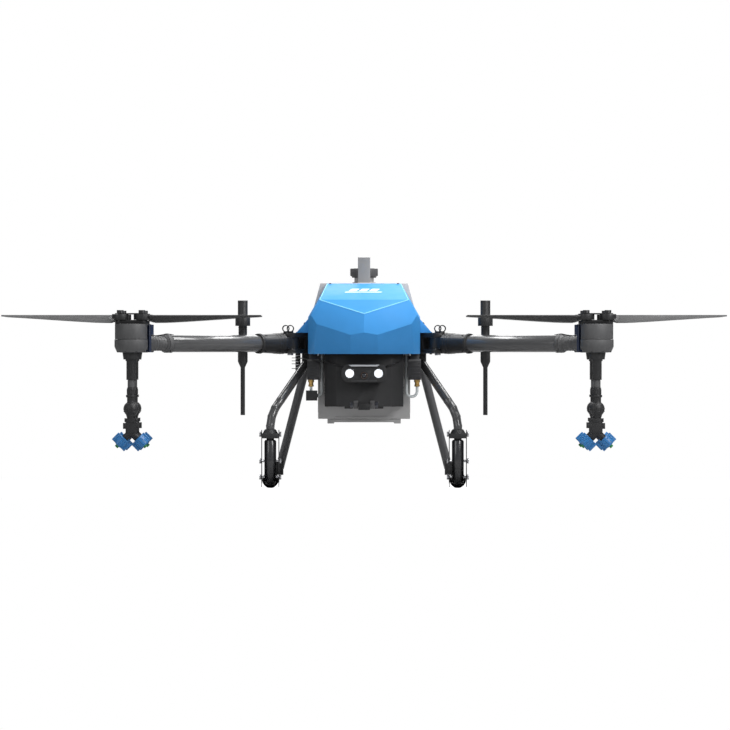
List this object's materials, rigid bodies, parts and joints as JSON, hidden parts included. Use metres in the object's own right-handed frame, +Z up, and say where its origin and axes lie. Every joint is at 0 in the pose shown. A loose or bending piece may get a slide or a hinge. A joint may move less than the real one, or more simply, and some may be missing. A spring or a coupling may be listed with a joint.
{
  "type": "agricultural spray drone",
  "caption": "Multirotor crop-spraying drone with folding arms and blades, lift-out tank and battery, drop-tube nozzles and skid landing gear.",
  "frame": {"origin": "centre of the bounding box at ground level", "axes": "+Z up, -Y the front with the camera, +X to the right as seen from the front, along the propeller blades"},
  "size_m": [1.704, 0.998, 0.544],
  "materials": {
    "carbon_plate": "woven carbon sheet",
    "black_alloy": "black anodised",
    "steel": "brushed",
    "blue_shell": "satin moulding",
    "black_plastic": "fine texture",
    "lamp_lens": "clear",
    "carbon_tube": "woven carbon tube",
    "grey_tube": "satin",
    "rubber_foot": "matt",
    "pump_plastic": "fine texture",
    "clear_hose": "translucent",
    "module_plastic": "fine texture",
    "tank_plastic": "moulded, slightly glossy",
    "battery_case": "fine texture",
    "grey_alloy": "satin",
    "blue_caps": "moulded",
    "blade_composite": "carbon nylon",
    "antenna_plastic": "fine texture"
  },
  "bodies": {
    "airframe": {"frame_plates": "carbon_plate", "arm_mounts": "black_alloy", "steel_pins_bolts": "steel", "head_shell": "blue_shell", "electronics_box": "black_plastic", "camera_pod": "black_plastic", "camera_optics": "lamp_lens", "battery_tray": "black_plastic", "landing_legs": "carbon_tube", "skids": "grey_tube", "skid_feet": "rubber_foot", "leg_brackets": "black_plastic", "pumps": "pump_plastic", "hoses": "clear_hose", "side_modules": "module_plastic"},
    "tank": {"tank": "tank_plastic"},
    "lid": {"filler_cap": "black_plastic"},
    "battery": {"battery": "battery_case"},
    "arm_fr": {"arm_hinge_fr": "black_alloy", "arm_tube_fr": "carbon_tube", "motor_base_fr": "grey_alloy", "nozzle_fr": "black_plastic", "spray_caps_fr": "blue_caps", "antenna_fr": "antenna_plastic"},
    "lock_fr": {"lock_pin_fr": "steel"},
    "rotor_fr": {"motor_bell_fr": "grey_alloy", "prop_hub_fr": "black_alloy"},
    "blade_out_fr": {"blade_out_fr": "blade_composite"},
    "blade_in_fr": {"blade_in_fr": "blade_composite"},
    "arm_fl": {"arm_hinge_fl": "black_alloy", "arm_tube_fl": "carbon_tube", "motor_base_fl": "grey_alloy", "nozzle_fl": "black_plastic", "spray_caps_fl": "blue_caps", "antenna_fl": "antenna_plastic"},
    "lock_fl": {"lock_pin_fl": "steel"},
    "rotor_fl": {"motor_bell_fl": "grey_alloy", "prop_hub_fl": "black_alloy"},
    "blade_out_fl": {"blade_out_fl": "blade_composite"},
    "blade_in_fl": {"blade_in_fl": "blade_composite"},
    "arm_rr": {"arm_hinge_rr": "black_alloy", "arm_tube_rr": "carbon_tube", "motor_base_rr": "grey_alloy", "nozzle_rr": "black_plastic", "spray_caps_rr": "blue_caps"},
    "lock_rr": {"lock_pin_rr": "steel"},
    "rotor_rr": {"motor_bell_rr": "grey_alloy", "prop_hub_rr": "black_alloy"},
    "blade_out_rr": {"blade_out_rr": "blade_composite"},
    "blade_in_rr": {"blade_in_rr": "blade_composite"},
    "arm_rl": {"arm_hinge_rl": "black_alloy", "arm_tube_rl": "carbon_tube", "motor_base_rl": "grey_alloy", "nozzle_rl": "black_plastic", "spray_caps_rl": "blue_caps"},
    "lock_rl": {"lock_pin_rl": "steel"},
    "rotor_rl": {"motor_bell_rl": "grey_alloy", "prop_hub_rl": "black_alloy"},
    "blade_out_rl": {"blade_out_rl": "blade_composite"},
    "blade_in_rl": {"blade_in_rl": "blade_composite"}
  },
  "joints": [
    {"name": "tank_lift", "type": "slide", "parent": "airframe", "child": "tank", "axis": [0, 0, 1], "range_m": [0, 0.36]},
    {"name": "lid_turn", "type": "hinge", "parent": "tank", "child": "lid", "pos_m": [0, 0.038, 0.505], "axis": [0, 0, 1], "range_deg": [0, 90]},
    {"name": "battery_lift", "type": "slide", "parent": "airframe", "child": "battery", "axis": [0, 0, 1], "range_m": [0, 0.16]},
    {"name": "arm_fold_fr", "type": "hinge", "parent": "airframe", "child": "arm_fr", "pos_m": [0.174, -0.147, 0.3405], "axis": [0, 0, 1], "range_deg": [0, 60]},
    {"name": "lock_pull_fr", "type": "slide", "parent": "airframe", "child": "lock_fr", "axis": [0, 0, 1], "range_m": [0, 0.008], "stiffness_N_per_m": 500, "springref_m": -0.004},
    {"name": "prop_spin_fr", "type": "hinge", "parent": "arm_fr", "child": "rotor_fr", "pos_m": [0.547, -0.46, 0.37], "axis": [0, 0, 1], "continuous": true},
    {"name": "blade_fold_out_fr", "type": "hinge", "parent": "rotor_fr", "child": "blade_out_fr", "pos_m": [0.5725, -0.46, 0.403], "axis": [0, 0, 1], "range_deg": [-95, 95]},
    {"name": "blade_fold_in_fr", "type": "hinge", "parent": "rotor_fr", "child": "blade_in_fr", "pos_m": [0.5215, -0.46, 0.403], "axis": [0, 0, 1], "range_deg": [-95, 95]},
    {"name": "arm_fold_fl", "type": "hinge", "parent": "airframe", "child": "arm_fl", "pos_m": [-0.174, -0.147, 0.3405], "axis": [0, 0, 1], "range_deg": [-60, 0]},
    {"name": "lock_pull_fl", "type": "slide", "parent": "airframe", "child": "lock_fl", "axis": [0, 0, 1], "range_m": [0, 0.008], "stiffness_N_per_m": 500, "springref_m": -0.004},
    {"name": "prop_spin_fl", "type": "hinge", "parent": "arm_fl", "child": "rotor_fl", "pos_m": [-0.547, -0.46, 0.37], "axis": [0, 0, 1], "continuous": true},
    {"name": "blade_fold_out_fl", "type": "hinge", "parent": "rotor_fl", "child": "blade_out_fl", "pos_m": [-0.5725, -0.46, 0.403], "axis": [0, 0, 1], "range_deg": [-95, 95]},
    {"name": "blade_fold_in_fl", "type": "hinge", "parent": "rotor_fl", "child": "blade_in_fl", "pos_m": [-0.5215, -0.46, 0.403], "axis": [0, 0, 1], "range_deg": [-95, 95]},
    {"name": "arm_fold_rr", "type": "hinge", "parent": "airframe", "child": "arm_rr", "pos_m": [0.174, 0.147, 0.3405], "axis": [0, 0, 1], "range_deg": [-60, 0]},
    {"name": "lock_pull_rr", "type": "slide", "parent": "airframe", "child": "lock_rr", "axis": [0, 0, 1], "range_m": [0, 0.008], "stiffness_N_per_m": 500, "springref_m": -0.004},
    {"name": "prop_spin_rr", "type": "hinge", "parent": "arm_rr", "child": "rotor_rr", "pos_m": [0.547, 0.46, 0.37], "axis": [0, 0, 1], "continuous": true},
    {"name": "blade_fold_out_rr", "type": "hinge", "parent": "rotor_rr", "child": "blade_out_rr", "pos_m": [0.5725, 0.46, 0.403], "axis": [0, 0, 1], "range_deg": [-95, 95]},
    {"name": "blade_fold_in_rr", "type": "hinge", "parent": "rotor_rr", "child": "blade_in_rr", "pos_m": [0.5215, 0.46, 0.403], "axis": [0, 0, 1], "range_deg": [-95, 95]},
    {"name": "arm_fold_rl", "type": "hinge", "parent": "airframe", "child": "arm_rl", "pos_m": [-0.174, 0.147, 0.3405], "axis": [0, 0, 1], "range_deg": [0, 60]},
    {"name": "lock_pull_rl", "type": "slide", "parent": "airframe", "child": "lock_rl", "axis": [0, 0, 1], "range_m": [0, 0.008], "stiffness_N_per_m": 500, "springref_m": -0.004},
    {"name": "prop_spin_rl", "type": "hinge", "parent": "arm_rl", "child": "rotor_rl", "pos_m": [-0.547, 0.46, 0.37], "axis": [0, 0, 1], "continuous": true},
    {"name": "blade_fold_out_rl", "type": "hinge", "parent": "rotor_rl", "child": "blade_out_rl", "pos_m": [-0.5725, 0.46, 0.403], "axis": [0, 0, 1], "range_deg": [-95, 95]},
    {"name": "blade_fold_in_rl", "type": "hinge", "parent": "rotor_rl", "child": "blade_in_rl", "pos_m": [-0.5215, 0.46, 0.403], "axis": [0, 0, 1], "range_deg": [-95, 95]}
  ]
}
